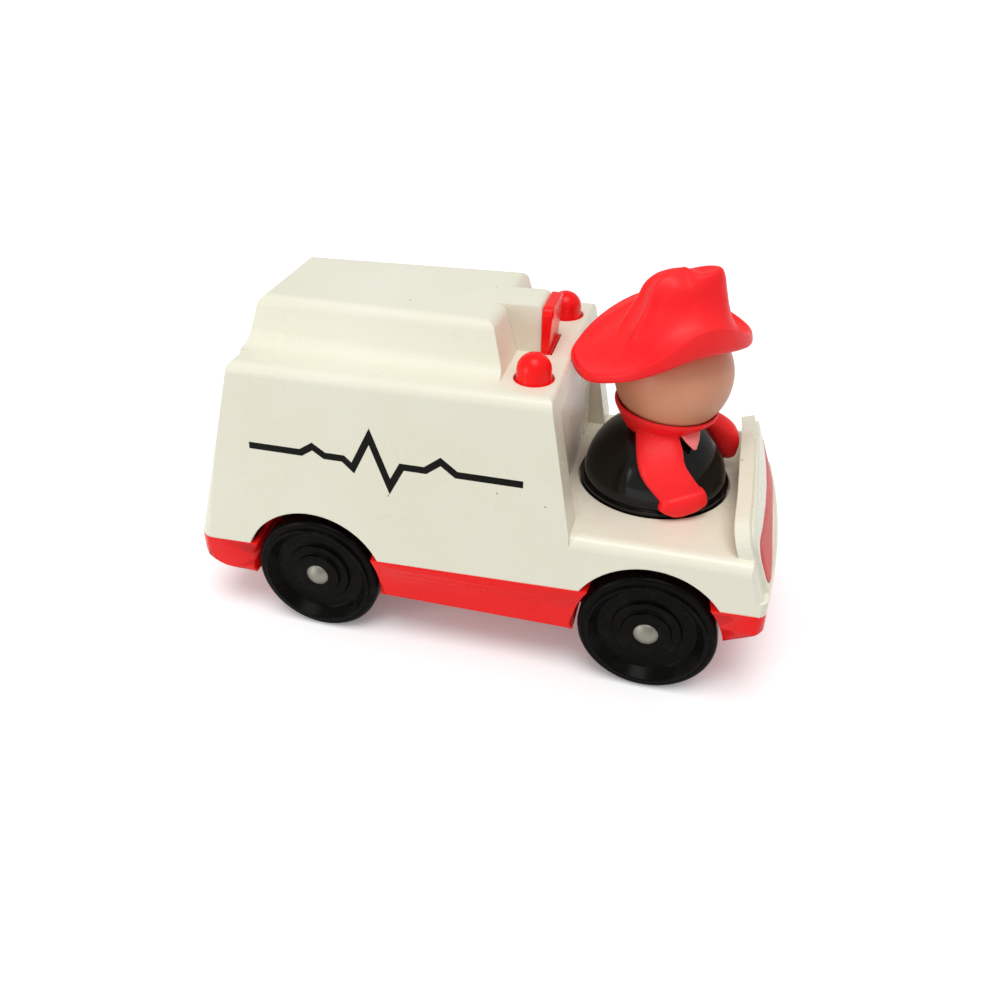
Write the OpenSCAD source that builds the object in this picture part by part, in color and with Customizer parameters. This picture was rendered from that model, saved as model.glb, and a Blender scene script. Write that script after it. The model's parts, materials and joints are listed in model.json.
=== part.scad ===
// Toy ambulance with an open cab, a driver who lifts out and wheels that roll.
// Millimetres. The origin lies on the floor below the middle of the body, +X points forward.

/* [Body] */
// Length from the rear wall to the bumper
body_l = 157; // [152:1:166]
// Width at the belt line
body_w = 69.6; // [68:0.2:76]
// Wall of the white moulding
wall = 2.2; // [1.8:0.1:2.4]
// Height of the belt line at the rear
belt_rear_z = 25.3; // [25:0.1:27]
// Height of the belt line at the nose
belt_front_z = 30.1; // [29:0.1:31]
// Radius of the moulding's long edges
edge_r = 3; // [2.5:0.1:4]
// Radius of the upright rear corners
rear_corner_r = 5; // [4:0.5:10]

/* [Box] */
// Height of the ledge round the roof block
ledge_z = 80.3; // [79:0.1:86]
// How far each side leans in up to the ledge
side_in = 2.8; // [2:0.1:4]
// How far the rear wall leans forward up to the ledge
rear_in = 15.5; // [10:0.5:20]
// Distance from the bumper to the front edge of the ledge
cab_l = 57; // [56:0.5:60]
// How far the cab wall leans back up to the ledge
jamb_lean = 6; // [4:0.5:7]

/* [Roof block] */
// Height of the roof
roof_z = 92.8; // [91:0.1:98]
// Distance from the body's side to the roof above the origin
roof_side = 16.5; // [15:0.1:19]
// Angle by which the roof widens towards the front, in degrees
roof_turn = 2.1; // [0:0.1:3]
// How far the roof's sides flare out down to the ledge
roof_flare = 2.6; // [1:0.1:4]
// Radius of the soft foot of the roof's sides
roof_foot_r = 4.5; // [2:0.1:6]
// Distance from the ledge's front edge to the front of the roof
roof_back = 17.5; // [16:0.5:20]
// Length of the narrow block in front of the roof
nose_block_l = 9.5; // [8:0.5:11]
// Width of the narrow block
nose_block_w = 12; // [10:0.5:14]

/* [Cab] */
// Height of the deck
deck_z = 44.1; // [44:0.1:46]
// Radius of the fender's top edge
fender_r = 3.3; // [2:0.1:4]
// Lean of the front, in degrees
front_lean = 19; // [15:0.5:21]
// Radius of the bow across the front
bow_r = 250; // [200:5:400]
// Radius of the two front corners
front_corner_r = 3; // [2.6:0.1:4]
// How far the bumper stands out
bumper_out = 1.2; // [1:0.1:2]
// Height of the bumper's top
bumper_z = 33.8; // [33:0.1:35]
// Rise of the windscreen above the deck
screen_rise = 15; // [12:0.5:16]
// Distance from the body's side to the windscreen's end
screen_side = 3.8; // [3.6:0.1:6]
// How much lower the windscreen is at its ends
screen_drop = 6.5; // [4:0.5:8]
// Thickness of the windscreen
screen_t = 3.6; // [3:0.1:4]
// Width of the windscreen's edge round the raised front panel
screen_rim_w = 1.6; // [1.2:0.1:2.4]
// Depth of the recess between the cab's jambs, at the deck
recess_depth = 5; // [4:0.1:5.2]

/* [Seat] */
// Distance from the bumper to the middle of the seat
seat_from_nose = 34; // [33:0.5:35]
// Bore of the seat well
seat_d = 34.6; // [33:0.1:35]
// Depth of the seat well below the deck
seat_depth = 13.8; // [12:0.1:14]
// Width of the sunk rim round the well
seat_rim_w = 2.9; // [2.4:0.1:3.2]
// Depth of the sunk rim
seat_rim_depth = 2; // [1.5:0.1:2.5]

/* [Base] */
// Height of the base's underside
floor_z = 15.2; // [14.6:0.1:15.8]
// Thickness of the base's floor
floor_t = 2.4; // [2:0.1:2.8]
// How far the base narrows down to its underside
base_draft = 1; // [0:0.1:2]
// Radius of the turned-up rear of the base
skirt_r = 9; // [6:0.5:10]
// Outer diameter of the axle tubes
axle_tube_d = 10.8; // [9.6:0.1:11.6]
// Gap between a wheel and its housing
wheel_gap = 1.2; // [0.9:0.1:1.3]
// Thickness of the wheel housings
housing_t = 1.4; // [1.2:0.1:1.5]

/* [Wheels] */
// Wheel diameter
wheel_d = 35.6; // [34.6:0.2:36.4]
// Wheel width
wheel_w = 11; // [9:0.1:11.5]
// Distance between the axles
wheelbase = 91; // [88:0.5:94]
// Distance from the bumper to the front axle
front_overhang = 30; // [29:0.5:31]
// Axle diameter
axle_d = 6.35; // [5:0.05:7]
// Gap between a wheel housing and the arch of the white moulding
arch_gap = 0.4; // [0.3:0.1:1]

/* [Lights] */
// Diameter of the two dome lights
dome_d = 8.7; // [7:0.1:9.2]
// Height of the dome lights above the ledge
dome_h = 8; // [7:0.1:10]
// Distance from the body's side to a dome light's middle
dome_side = 14.4; // [13:0.1:16]
// Width of the upright lens
lens_w = 13; // [12:0.5:14]
// Thickness of the upright lens
lens_t = 2.6; // [2:0.1:3]
// Distance from the body's side to the grille's end
grille_side = 6.8; // [6.4:0.1:10]
// Height of the front grille
grille_h = 12; // [10:0.5:13]

/* [Driver] */
// Radius of the driver's domed body
dome_body_r = 18.8; // [18:0.1:19]
// Diameter of the driver's head
head_d = 30; // [28:0.5:31]
// Height of the head's middle
head_z = 76; // [75.8:0.1:77.8]
// How far the head sits ahead of the body
head_ahead = 2.3; // [2.2:0.1:3]
// Angle by which the head is turned to the left, in degrees
head_yaw = 26; // [26:1:60]
// How far the brim reaches out behind the crown
brim_back = 9.4; // [8:0.1:9.6]
// How far the brim reaches out ahead of the crown
brim_front = 6.1; // [5:0.1:7]
// How far the brim reaches out beside the crown
brim_side = 6.4; // [5:0.1:7]
// Height of the crown above its foot
crown_h = 12.6; // [11:0.1:15]

/* [Fits] */
// Radial play of the axles in their tubes and of the neck in its socket
running_gap = 0.05; // [0.03:0.01:0.08]
// Radial play of a wheel on its axle
press_gap = 0.02; // [0.01:0.01:0.03]
// Play between pieces that drop into each other
drop_gap = 0.35; // [0.3:0.05:0.45]

/* [Hidden] */
$fn = 96;
// How far a cut runs past the face that it opens
overrun = 0.5;
// Steps in each rounded corner of an outline
arc_steps = 6;

// Colours
white = [0.91, 0.90, 0.83];
red = [0.95, 0.06, 0.07];
black = [0.03, 0.03, 0.03];
steel = [0.56, 0.56, 0.52];
tan_skin = [0.75, 0.52, 0.40];

// Places along the body
nose_x = body_l / 2;
rear_x = -body_l / 2;
front_axle_x = nose_x - front_overhang;
rear_axle_x = front_axle_x - wheelbase;
axle_z = wheel_d / 2;
housing_r = wheel_d / 2 + wheel_gap;
arch_r = housing_r + housing_t + arch_gap;
ledge_front_x = nose_x - cab_l;
roof_front_x = ledge_front_x - roof_back;
nose_block_x = roof_front_x + nose_block_l;
seat_x = nose_x - seat_from_nose;
head_x = seat_x + head_ahead;
half_w = body_w / 2;
ledge_w = body_w - 2 * side_in;
roof_half_w = half_w - roof_side;
dome_pitch = body_w - 2 * dome_side;
grille_w = body_w - 2 * grille_side;

// How far the roof's front face leans out down to the ledge
roof_front_in = 3.2;
// Radius of the front edge of the ledge
jamb_r = 1.6;
// Width of each side jamb of the cab wall
jamb_w = 7;
rear_lean = atan2(rear_in, ledge_z - belt_rear_z);
well_in_y = half_w - wheel_w - wall / 2;

// Distance from the body's side to the end of the front's bow, and the bow's angle there
bow_side = 6;
bow_angle = asin((half_w - bow_side) / bow_r);

function belt_z(x) = belt_rear_z + (belt_front_z - belt_rear_z) * (x - rear_x) / body_l;
function up_share(z) = (z - belt_rear_z) / (ledge_z - belt_rear_z);
function side_y(z) = half_w - (half_w - ledge_w / 2) * up_share(z);
function rear_wall_x(z) = rear_x + rear_in * up_share(z);
function jamb_x(z) = ledge_front_x + jamb_lean * (ledge_z - z) / (ledge_z - deck_z);

// Outlines whose corners are [x, y, radius], with each corner turned into an arc
function unit(v) = v / norm(v);
function flat(corner) = [corner[0], corner[1]];
function corner_arc(before, at, after, radius) =
    let (a = unit(before - at), b = unit(after - at), half = acos(a * b) / 2)
    let (middle = at + unit(a + b) * radius / sin(half))
    let (start = at + a * radius / tan(half) - middle, finish = at + b * radius / tan(half) - middle)
    let (first = atan2(start[1], start[0]), turn = atan2(cross(start, finish), start * finish))
    [for (step = [0 : arc_steps])
        let (angle = first + turn * step / arc_steps)
        middle + radius * [cos(angle), sin(angle)]];
function rounded(corners) =
    let (count = len(corners))
    [for (i = [0 : count - 1])
        let (at = corners[i], before = corners[(i + count - 1) % count], after = corners[(i + 1) % count])
        each at[2] > 0 ? corner_arc(flat(before), flat(at), flat(after), at[2]) : [flat(at)]];

// An outline in X and Z carried across the body, and one in Y and Z carried along it
module across(width) {
    rotate([90, 0, 0])
        linear_extrude(width, center = true)
            children();
}
module along(length) {
    rotate([90, 0, 90])
        linear_extrude(length, center = true)
            children();
}
module both_sides() {
    for (side = [0, 1])
        mirror([0, side, 0])
            children();
}

// The bowed front in plan, with its nose at zero
module front_outline(grow) {
    bow = bow_r + grow;
    tip = grow + bow / cos(bow_angle) - bow;
    side = half_w + grow;
    corner_x = tip - side * tan(bow_angle);
    corner_r = max(front_corner_r + grow, 0);
    polygon(rounded([
        [-2 * body_l, -side, 0],
        [corner_x, -side, corner_r],
        [tip, 0, bow],
        [corner_x, side, corner_r],
        [-2 * body_l, side, 0]
    ]));
}

// The leaning frame of the front, with its zero on top of the bumper
module front_frame() {
    translate([nose_x - bumper_out, 0, bumper_z])
        rotate([0, -front_lean, 0])
            children();
}
module front_block(inset) {
    front_frame()
        linear_extrude(2 * roof_z)
            front_outline(-inset);
    translate([nose_x, 0, 0])
        linear_extrude(bumper_z)
            front_outline(-inset);
}

// The rear corners in plan, with the rear wall at zero
module rear_outline(inset) {
    polygon(rounded([
        [inset, inset - half_w, max(rear_corner_r - inset, 0)],
        [2 * body_l, inset - half_w, 0],
        [2 * body_l, half_w - inset, 0],
        [inset, half_w - inset, max(rear_corner_r - inset, 0)]
    ]));
}
module rear_block(inset) {
    translate([rear_x, 0, belt_rear_z])
        rotate([0, rear_lean, 0])
            translate([0, 0, -roof_z])
                linear_extrude(2 * roof_z)
                    rear_outline(inset);
}

// All that lies above the belt line
module above_belt() {
    across(2 * body_w)
        polygon([
            [-body_l, belt_z(-body_l)],
            [body_l, belt_z(body_l)],
            [body_l, 2 * roof_z],
            [-body_l, 2 * roof_z]
        ]);
}

// The high box with the low cab in front of it
module body_form(inset) {
    radius = max(edge_r - inset, 0);
    intersection() {
        across(2 * body_w)
            polygon(rounded([
                [rear_wall_x(floor_z) + inset, floor_z, 0],
                [rear_wall_x(ledge_z) + inset, ledge_z - inset, radius],
                [ledge_front_x - inset, ledge_z - inset, max(jamb_r - inset, 0)],
                [jamb_x(deck_z) - inset, deck_z - inset, 0],
                [2 * nose_x, deck_z - inset, 0],
                [2 * nose_x, floor_z, 0]
            ]));
        along(2 * body_l)
            polygon(rounded([
                [inset - half_w, floor_z, 0],
                [half_w - inset, floor_z, 0],
                [half_w - inset, belt_rear_z, 0],
                [side_y(ledge_z) - inset, ledge_z - inset, radius],
                [inset - side_y(ledge_z), ledge_z - inset, radius],
                [inset - half_w, belt_rear_z, 0]
            ]));
        rear_block(inset);
        front_block(inset);
    }
}

// What the rounding takes off the cab's fenders
module fender_edges() {
    arc = corner_arc([half_w, belt_rear_z], [side_y(deck_z), deck_z], [0, deck_z], fender_r);
    last = arc[arc_steps];
    both_sides()
        translate([jamb_x(deck_z), 0, 0])
            rotate([90, 0, 90])
                linear_extrude(body_l)
                    polygon(concat(arc, [
                        [last[0], last[1] + overrun],
                        [half_w + overrun, last[1] + overrun],
                        [half_w + overrun, arc[0][1]]
                    ]));
}

// The roof block, whose two halves turn apart towards the front
module roof_form(inset) {
    top_y = roof_half_w - inset;
    foot_y = top_y + roof_flare;
    low_z = ledge_z - 2 * wall;
    radius = max(edge_r - inset, 0);
    intersection() {
        across(body_w)
            polygon(rounded([
                [rear_wall_x(low_z) + inset, low_z, 0],
                [rear_wall_x(roof_z) + inset, roof_z - inset, radius],
                [roof_front_x - inset, roof_z - inset, radius],
                [roof_front_x + roof_front_in - inset, ledge_z, 0],
                [roof_front_x + roof_front_in - inset, low_z, 0]
            ]));
        both_sides()
            rotate([0, 0, roof_turn])
                along(2 * body_l)
                    polygon(rounded([
                        [-wall, low_z, 0],
                        [foot_y + roof_foot_r, low_z, 0],
                        [foot_y + roof_foot_r, ledge_z - inset, 0],
                        [foot_y, ledge_z - inset, roof_foot_r],
                        [top_y, roof_z - inset, radius],
                        [-wall, roof_z - inset, 0]
                    ]));
    }
}
module nose_block(inset) {
    across(nose_block_w - 2 * inset)
        polygon(rounded([
            [roof_front_x - 2 * edge_r, ledge_z - wall - inset, 0],
            [roof_front_x - 2 * edge_r, roof_z - inset, 0],
            [nose_block_x - inset, roof_z - inset, max(jamb_r - inset, 0)],
            [nose_block_x - inset, ledge_z - wall - inset, 0]
        ]));
}

// The windscreen, a low arched plate along the bow of the front, with a raised panel ahead of it
deck_rise = (deck_z - bumper_z) / cos(front_lean);
screen_corner_r = 7;
screen_crown_r = 60;
module screen_arch(shrink, foot) {
    half = half_w - screen_side - shrink;
    top = deck_rise + screen_rise - shrink;
    polygon(rounded([
        [-half, foot, 0],
        [half, foot, 0],
        [half, top - screen_drop, screen_corner_r - shrink],
        [0, top, screen_crown_r],
        [-half, top - screen_drop, screen_corner_r - shrink]
    ]));
}
module bow_plate(outer, inner) {
    linear_extrude(roof_z)
        difference() {
            translate([outer, 0])
                front_outline(0);
            translate([inner, 0])
                front_outline(0);
        }
}
panel_out = 0.8;
module screen_form() {
    front_frame() {
        intersection() {
            bow_plate(0, -screen_t);
            along(body_l)
                screen_arch(0, deck_rise - wall);
        }
        intersection() {
            bow_plate(panel_out, -overrun);
            difference() {
                along(body_l)
                    screen_arch(screen_rim_w, 0);
                grille_window(-drop_gap);
            }
        }
    }
}

// Round spaces for the wheels on both sides of both axles
module wells(radius, inner_y) {
    for (x = [rear_axle_x, front_axle_x])
        both_sides()
            translate([x, inner_y, axle_z])
                rotate([-90, 0, 0])
                    cylinder(r = radius, h = half_w);
}

// The upright recess between the jambs of the leaning cab wall, and the wall behind it
recess_x = jamb_x(deck_z) - recess_depth;
recess_half_w = ledge_w / 2 - jamb_w;
module recess() {
    translate([recess_x, -recess_half_w, deck_z])
        cube([2 * recess_depth, 2 * recess_half_w, ledge_z - deck_z]);
}
module recess_backing() {
    translate([recess_x - wall, -recess_half_w - wall, deck_z - wall])
        cube([2 * recess_depth, 2 * (recess_half_w + wall), ledge_z - deck_z]);
}

// Screw posts inside the shell, between the wheels, each with a web to the side wall
screw_d = 3;
screw_head_d = 5.6;
screw_head_h = 2;
screw_l = 12;
screw_post_d = 7;
screw_y = half_w - base_draft - wall - drop_gap - screw_post_d / 2;
screw_xs = [rear_axle_x + arch_r + screw_post_d, front_axle_x - arch_r - screw_post_d];
module at_screws() {
    for (x = screw_xs)
        both_sides()
            translate([x, screw_y, floor_z])
                children();
}

// Holes that the light bar comes up through
dome_hole_gap = 0.75;
light_x = nose_block_x + lens_t / 2;
module light_holes() {
    both_sides()
        translate([light_x, dome_pitch / 2, ledge_z - 2 * wall])
            cylinder(d = dome_d + 2 * dome_hole_gap, h = 4 * wall);
    translate([nose_block_x, -lens_w / 2 - drop_gap, ledge_z - 2 * wall])
        cube([lens_t + drop_gap, lens_w + 2 * drop_gap, 3 * wall]);
}

// Pegs that hold the grille in the front wall
grille_peg_d = 3.2;
grille_peg_y = grille_w / 4;
grille_low = 0.7;
grille_mid = grille_low + grille_h / 2;
module grille_pegs(gap, reach) {
    front_x = sqrt(bow_r * bow_r - grille_peg_y * grille_peg_y) - bow_r;
    front_frame()
        both_sides()
            translate([front_x - reach, grille_peg_y, grille_mid])
                rotate([0, 90, 0])
                    cylinder(d = grille_peg_d + 2 * gap, h = reach + overrun);
}

seat_floor_z = deck_z - seat_depth;
seat_rim_d = seat_d + 2 * seat_rim_w;
module seat_outer(grow) {
    skin = wall + grow;
    translate([seat_x, 0, seat_floor_z - skin])
        cylinder(d = seat_d + 2 * skin, h = seat_depth);
    translate([seat_x, 0, deck_z - seat_rim_depth - skin])
        cylinder(d = seat_rim_d + 2 * skin, h = seat_rim_depth + skin / 2);
}
module seat_inner() {
    translate([seat_x, 0, seat_floor_z])
        cylinder(d = seat_d, h = seat_depth + overrun);
    translate([seat_x, 0, deck_z - seat_rim_depth])
        cylinder(d = seat_rim_d, h = seat_rim_depth + overrun);
}
module post_outer() {
    at_screws()
        translate([0, 0, floor_t])
            cylinder(d = screw_post_d, h = arch_r);
    intersection() {
        at_screws()
            translate([-screw_post_d / 4, 0, floor_t])
                cube([screw_post_d / 2, half_w - screw_y - wall / 2, arch_r]);
        translate([0, 0, overrun])
            above_belt();
    }
}
module post_pilot() {
    at_screws()
        translate([0, 0, floor_t - overrun])
            cylinder(d = screw_d, h = screw_l);
}

// The white moulding: box, roof block, open cab and windscreen, open below
module body_shell() {
    color(white)
        difference() {
            union() {
                intersection() {
                    union() {
                        difference() {
                            body_form(0);
                            fender_edges();
                        }
                        roof_form(0);
                        nose_block(0);
                        screen_form();
                    }
                    above_belt();
                }
                seat_outer(0);
                post_outer();
            }
            difference() {
                union() {
                    body_form(wall);
                    roof_form(wall);
                    nose_block(wall);
                }
                recess_backing();
                seat_outer(0);
                post_outer();
            }
            difference() {
                wells(arch_r, well_in_y - wall - drop_gap);
                seat_outer(0);
            }
            recess();
            seat_inner();
            post_pilot();
            light_holes();
            grille_pegs(drop_gap / 2, 2 * wall);
        }
}

// The red base: a tray with turned-up ends, wheel housings and two axle tubes
rear_skirt_in = 2.6;
front_skirt_in = 0.6;
front_skirt_r = 3;
front_rise = 10.8;
ramp_lead = 8;
ramp_x = front_axle_x + ramp_lead;
module base_form(inset, lift) {
    low_z = floor_z + (lift > 0 ? floor_t : 0);
    intersection() {
        across(2 * body_w)
            polygon(rounded([
                [rear_x + inset, belt_z(rear_x) + lift, 0],
                [rear_x + rear_skirt_in + inset, low_z, skirt_r - inset],
                [ramp_x, low_z, 0],
                [nose_x - front_skirt_in - inset, low_z + front_rise, front_skirt_r - inset],
                [nose_x - inset, belt_z(nose_x) + lift, 0]
            ]));
        along(2 * body_l)
            polygon([
                [inset - half_w, belt_front_z + lift],
                [half_w - inset, belt_front_z + lift],
                [half_w - inset, belt_rear_z],
                [half_w - inset - base_draft, floor_z],
                [inset + base_draft - half_w, floor_z],
                [inset - half_w, belt_rear_z]
            ]);
        translate([rear_x, 0, 0])
            linear_extrude(roof_z)
                rear_outline(inset);
        translate([nose_x, 0, 0])
            linear_extrude(roof_z)
                front_outline(-inset);
    }
}
// Wheel housings, which rise above the belt line inside the arches of the white moulding
housing_in = 0.9;
module housings() {
    intersection() {
        wells(housing_r + housing_t, well_in_y - wall);
        across(2 * (half_w - housing_in))
            polygon([
                [rear_x, floor_z],
                [ramp_x, floor_z],
                [nose_x - front_skirt_in, floor_z + front_rise],
                [nose_x - front_skirt_in, roof_z],
                [rear_x, roof_z]
            ]);
    }
}
module axle_tubes(diameter, half_l) {
    for (x = [rear_axle_x, front_axle_x])
        translate([x, 0, axle_z])
            rotate([90, 0, 0])
                cylinder(d = diameter, h = 2 * half_l, center = true);
}
module base() {
    color(red)
        difference() {
            union() {
                difference() {
                    base_form(0, 0);
                    base_form(wall, overrun);
                }
                difference() {
                    housings();
                    seat_outer(drop_gap);
                }
                axle_tubes(axle_tube_d, well_in_y - wall / 2);
            }
            wells(housing_r, well_in_y);
            axle_tubes(axle_d + 2 * running_gap, half_w);
            at_screws() {
                translate([0, 0, -overrun])
                    cylinder(d = screw_d + 2 * drop_gap, h = floor_t + 2 * overrun);
                translate([0, 0, -overrun])
                    cylinder(d = screw_head_d + 2 * drop_gap, h = screw_head_h / 2 + overrun);
            }
        }
}

// Four self-tapping screws that hold the base to the shell's posts
module base_screws() {
    color(steel)
        at_screws() {
            translate([0, 0, screw_head_h / 2 - screw_head_h])
                cylinder(d = screw_head_d, h = screw_head_h);
            translate([0, 0, screw_head_h / 2])
                cylinder(d = screw_d - 2 * press_gap, h = screw_l - screw_head_h);
        }
}

// The red light insert: two domes and an upright lens on a bar below the ledge
light_bar_w = 7;
light_bar_t = 2.2;
lens_lip = 1;
lens_top_gap = 0.6;
module light_bar() {
    bar_top_z = ledge_z - wall;
    bar_l = dome_pitch + dome_d;
    color(red) {
        translate([light_x - light_bar_w / 2, -bar_l / 2, bar_top_z - light_bar_t])
            cube([light_bar_w, bar_l, light_bar_t]);
        both_sides()
            translate([light_x, dome_pitch / 2, bar_top_z - light_bar_t / 2]) {
                cylinder(d = dome_d, h = light_bar_t / 2 + wall + dome_h - dome_d / 2);
                translate([0, 0, light_bar_t / 2 + wall + dome_h - dome_d / 2])
                    sphere(d = dome_d);
            }
        across(lens_w)
            polygon(rounded([
                [nose_block_x + drop_gap / 2, bar_top_z - light_bar_t / 2, 0],
                [nose_block_x + lens_t, bar_top_z - light_bar_t / 2, 0],
                [nose_block_x + lens_t, ledge_z + wall, 0],
                [nose_block_x + lens_t + lens_lip, roof_z - lens_top_gap, lens_t / 2],
                [nose_block_x + drop_gap / 2, roof_z - lens_top_gap, lens_t / 2]
            ]));
    }
}

// The red grille that follows the bow of the front, with raised bars
grille_t = 1.5;
grille_seat = 0.1;
grille_bars = 4;
grille_groove = 0.6;
grille_corner_r = 4;
grille_border = 2;
module grille_window(shrink) {
    half = grille_w / 2 - shrink;
    low = grille_low + shrink;
    high = grille_low + grille_h - shrink;
    radius = grille_corner_r - shrink;
    along(body_l)
        polygon(rounded([
            [-half, low, radius],
            [half, low, radius],
            [half, high, radius],
            [-half, high, radius]
        ]));
}
module front_grille() {
    pitch = (grille_h - 2 * grille_border) / (2 * grille_bars - 1);
    color(red) {
        difference() {
            front_frame()
                intersection() {
                    bow_plate(grille_t, grille_seat);
                    grille_window(0);
                }
            front_frame()
                intersection() {
                    bow_plate(grille_t + overrun, grille_t - grille_groove);
                    grille_window(grille_border);
                    for (bar = [0 : grille_bars - 1])
                        translate([-body_l, -body_w, grille_low + grille_border + 2 * bar * pitch])
                            cube([2 * body_l, 2 * body_w, pitch]);
                }
        }
        grille_pegs(0, wall);
    }
}

// A steel axle with domed ends
axle_proud = 0.4;
axle_dome_share = 0.7;
module axle_rod(x) {
    half_l = half_w + axle_proud;
    dome_r = axle_d * axle_dome_share;
    dome_rise = dome_r - sqrt(dome_r * dome_r - axle_d * axle_d / 4);
    color(steel)
        translate([x, 0, axle_z])
            rotate([90, 0, 0])
                rotate_extrude()
                    intersection() {
                        translate([0, -half_l])
                            square([axle_d / 2, 2 * half_l]);
                        union() {
                            translate([0, dome_rise - half_l])
                                square([axle_d, 2 * (half_l - dome_rise)]);
                            for (end = [-1, 1])
                                translate([0, end * (half_l - dome_r)])
                                    circle(dome_r);
                        }
                    }
}
module front_axle() {
    axle_rod(front_axle_x);
}
module rear_axle() {
    axle_rod(rear_axle_x);
}

// A black wheel with a dished face, a raised lip and a stepped hub, and a hollow back
tread_r = 1.2;
lip_rise = 0.8;
dish_depth = 3;
hub_step = 1;
back_depth = 3.5;
lip_out_share = 0.87;
lip_in_share = 0.83;
dish_share = 0.7;
hub_share = 0.5;
hub_ring_share = 0.36;
back_rim_share = 0.84;
back_hub_share = 0.4;
module wheel(x, side) {
    r = wheel_d / 2;
    bore = axle_d / 2 + press_gap;
    rim = wheel_w - lip_rise;
    dish = wheel_w - dish_depth;
    hub = dish + hub_step;
    ring = hub + hub_step;
    color(black)
        translate([x, side * (half_w - wheel_w), axle_z])
            rotate([-90 * side, 0, 0])
                rotate_extrude()
                    polygon(rounded([
                        [bore, 0, 0],
                        [r * back_hub_share, 0, 0],
                        [r * back_hub_share, back_depth, 0],
                        [r * back_rim_share, back_depth, 0],
                        [r * back_rim_share, 0, 0],
                        [r, 0, tread_r],
                        [r, rim, tread_r],
                        [r * lip_out_share, rim, 0],
                        [r * lip_out_share, wheel_w, lip_rise / 4],
                        [r * lip_in_share, wheel_w, lip_rise / 4],
                        [r * dish_share, dish, hub_step],
                        [r * hub_share, dish, hub_step / 3],
                        [r * hub_share, hub, hub_step / 3],
                        [r * hub_ring_share, hub, hub_step / 3],
                        [r * hub_ring_share, ring, hub_step / 3],
                        [bore, ring, 0]
                    ]));
}
module wheel_front_left() {
    wheel(front_axle_x, 1);
}
module wheel_front_right() {
    wheel(front_axle_x, -1);
}
module wheel_rear_left() {
    wheel(rear_axle_x, 1);
}
module wheel_rear_right() {
    wheel(rear_axle_x, -1);
}

// The driver's black domed body, with a dish for the collar on top, and a flange and a hollow spigot
// that drop into the seat
flange_t = 3.2;
flange_gap = 0.5;
spigot_l = 10;
neck_d = 8;
neck_l = 11;
neck_boss_d = 13;
collar_gap = 0.4;
collar_t = 1.8;
collar_r = head_d / 2 + collar_gap + collar_t;
rim_floor_z = deck_z - seat_rim_depth;
dome_mid_z = rim_floor_z + flange_t;
neck_z = head_z - collar_r - press_gap;
module driver_body() {
    hollow_d = seat_d - 2 * drop_gap - 2 * wall;
    color(black)
        difference() {
            union() {
                difference() {
                    translate([seat_x, 0, dome_mid_z])
                        sphere(dome_body_r);
                    translate([seat_x, 0, rim_floor_z - 2 * dome_body_r])
                        cylinder(r = 2 * dome_body_r, h = 2 * dome_body_r + flange_t - overrun);
                    translate([head_x, 0, head_z])
                        sphere(collar_r + press_gap);
                }
                translate([seat_x, 0, rim_floor_z])
                    cylinder(d = seat_rim_d - 2 * flange_gap, h = flange_t);
                translate([seat_x, 0, rim_floor_z - spigot_l])
                    cylinder(d = seat_d - 2 * drop_gap, h = spigot_l + overrun);
            }
            difference() {
                union() {
                    intersection() {
                        translate([seat_x, 0, dome_mid_z])
                            sphere(dome_body_r - wall);
                        translate([seat_x, 0, dome_mid_z])
                            cylinder(r = dome_body_r, h = neck_z - dome_mid_z - wall);
                    }
                    translate([seat_x, 0, rim_floor_z - spigot_l - overrun])
                        cylinder(d = hollow_d, h = spigot_l + flange_t + 2 * overrun);
                }
                translate([head_x, 0, neck_z - neck_l - wall])
                    cylinder(d = neck_boss_d, h = neck_l + wall);
            }
            translate([head_x, 0, neck_z - neck_l])
                cylinder(d = neck_d + 2 * running_gap, h = neck_l + collar_t);
        }
}

// The driver's red jacket: a collar cup between the head and the dish, and two arms over the dome
collar_tilt = 15;
collar_back_drop = 8.7;
arm_r = 2.8;
// Middle line of each arm from its shoulder, and half its strap's width, in radii of the body's dome
right_arm_shares = [[0.03, -0.5, 0.92], [0.12, -0.84, 0.66], [0.26, -0.93, 0.46], [0.45, -0.97, 0.14]];
left_arm_shares = [[0.4, 0.42, 0.82], [0.68, 0.46, 0.66], [0.91, 0.46, 0.42], [0.91, 0.46, 0.36]];
right_half_share = [0.18, 0, 0];
left_half_share = [0, 0.13, 0];
arm_fn = 24;
module arm_section(middle, half) {
    for (end = [-1, 1])
        translate((middle + end * half) * dome_body_r)
            sphere(arm_r, $fn = arm_fn);
}
module arm(places, half) {
    translate([seat_x, 0, dome_mid_z])
        for (i = [1 : len(places) - 1])
            hull() {
                arm_section(places[i - 1], half);
                arm_section(places[i], half);
            }
}
module driver_jacket() {
    cup_r = head_d / 2 + collar_gap;
    top_z = head_z - collar_back_drop;
    color(red)
        difference() {
            union() {
                intersection() {
                    translate([head_x, 0, head_z])
                        sphere(collar_r);
                    translate([head_x - cup_r, 0, top_z])
                        rotate([0, collar_tilt, 0])
                            translate([-cup_r, -2 * cup_r, -4 * cup_r])
                                cube(4 * cup_r);
                }
                difference() {
                    union() {
                        arm(right_arm_shares, right_half_share);
                        arm(left_arm_shares, left_half_share);
                    }
                    translate([seat_x, 0, dome_mid_z])
                        sphere(dome_body_r + press_gap);
                }
            }
            translate([head_x, 0, head_z])
                sphere(cup_r);
            translate([head_x, 0, neck_z - overrun])
                cylinder(d = neck_d + 2 * collar_gap, h = head_d / 2);
            translate([seat_x, 0, rim_floor_z])
                cylinder(d = seat_rim_d, h = flange_t + press_gap);
        }
}

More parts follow.
